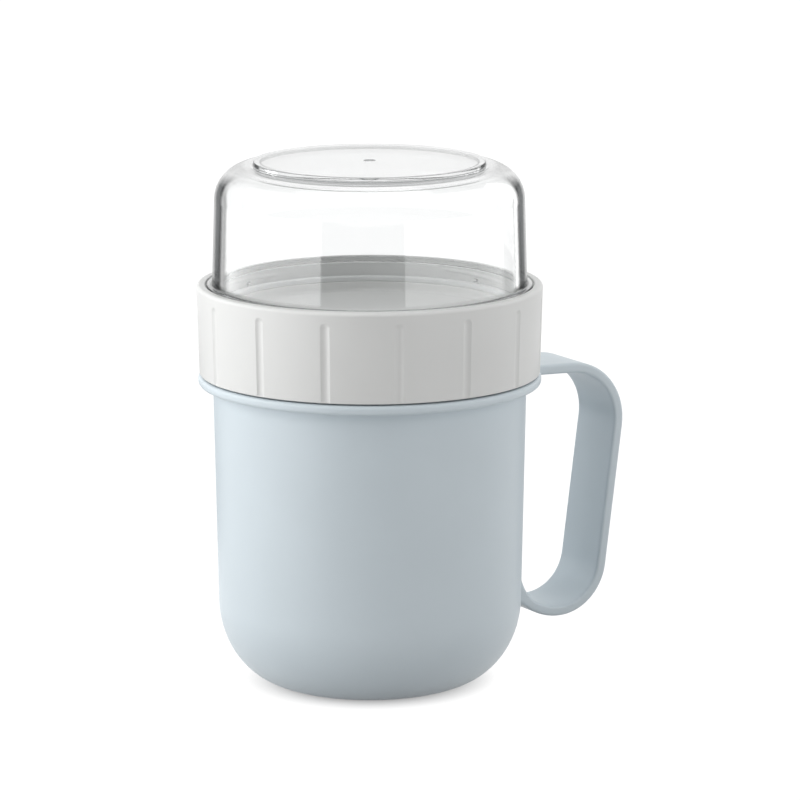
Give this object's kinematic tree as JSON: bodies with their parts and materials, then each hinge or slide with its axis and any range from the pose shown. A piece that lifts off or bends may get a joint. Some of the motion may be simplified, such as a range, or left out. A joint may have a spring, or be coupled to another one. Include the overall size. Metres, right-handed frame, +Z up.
{
  "type": "soup mug",
  "caption": "Handled carry mug with a rounded bottom, a fluted screw collar that carries a shallow tray, and a clear screw-on dome over the tray.",
  "frame": {"origin": "middle of the mug's foot, on the mug's axis, at the level of the table", "axes": "+Z up along the mug's axis, +X from the axis towards the handle"},
  "size_m": [0.1444, 0.11, 0.1683],
  "materials": {
    "mug_plastic": "satin pale blue polypropylene",
    "collar_plastic": "satin white polypropylene",
    "seal_rubber": "translucent white silicone",
    "clear_plastic": "clear polished plastic"
  },
  "bodies": {
    "mug": {"mug": "mug_plastic"},
    "collar_carrier": {"mug_seal": "seal_rubber"},
    "collar": {"collar": "collar_plastic"},
    "dome_carrier": {"dome_seal": "seal_rubber"},
    "dome": {"dome": "clear_plastic"}
  },
  "joints": [
    {"name": "collar_lift", "type": "slide", "parent": "mug", "child": "collar_carrier", "axis": [0, 0, 1], "range_m": [0, 0.0241]},
    {"name": "collar_turn", "type": "hinge", "parent": "collar_carrier", "child": "collar", "pos_m": [0, 0, 0.11], "axis": [0, 0, 1], "range_deg": [0, 720]},
    {"name": "dome_lift", "type": "slide", "parent": "collar", "child": "dome_carrier", "axis": [0, 0, 1], "range_m": [0, 0.0121]},
    {"name": "dome_turn", "type": "hinge", "parent": "dome_carrier", "child": "dome", "pos_m": [0, 0, 0.13], "axis": [0, 0, 1], "range_deg": [0, 360]}
  ],
  "couplings": [
    {"joint": "collar_lift", "follows": "collar_turn", "m_per_rad": 0.0019099},
    {"joint": "dome_lift", "follows": "dome_turn", "m_per_rad": 0.0019099}
  ]
}
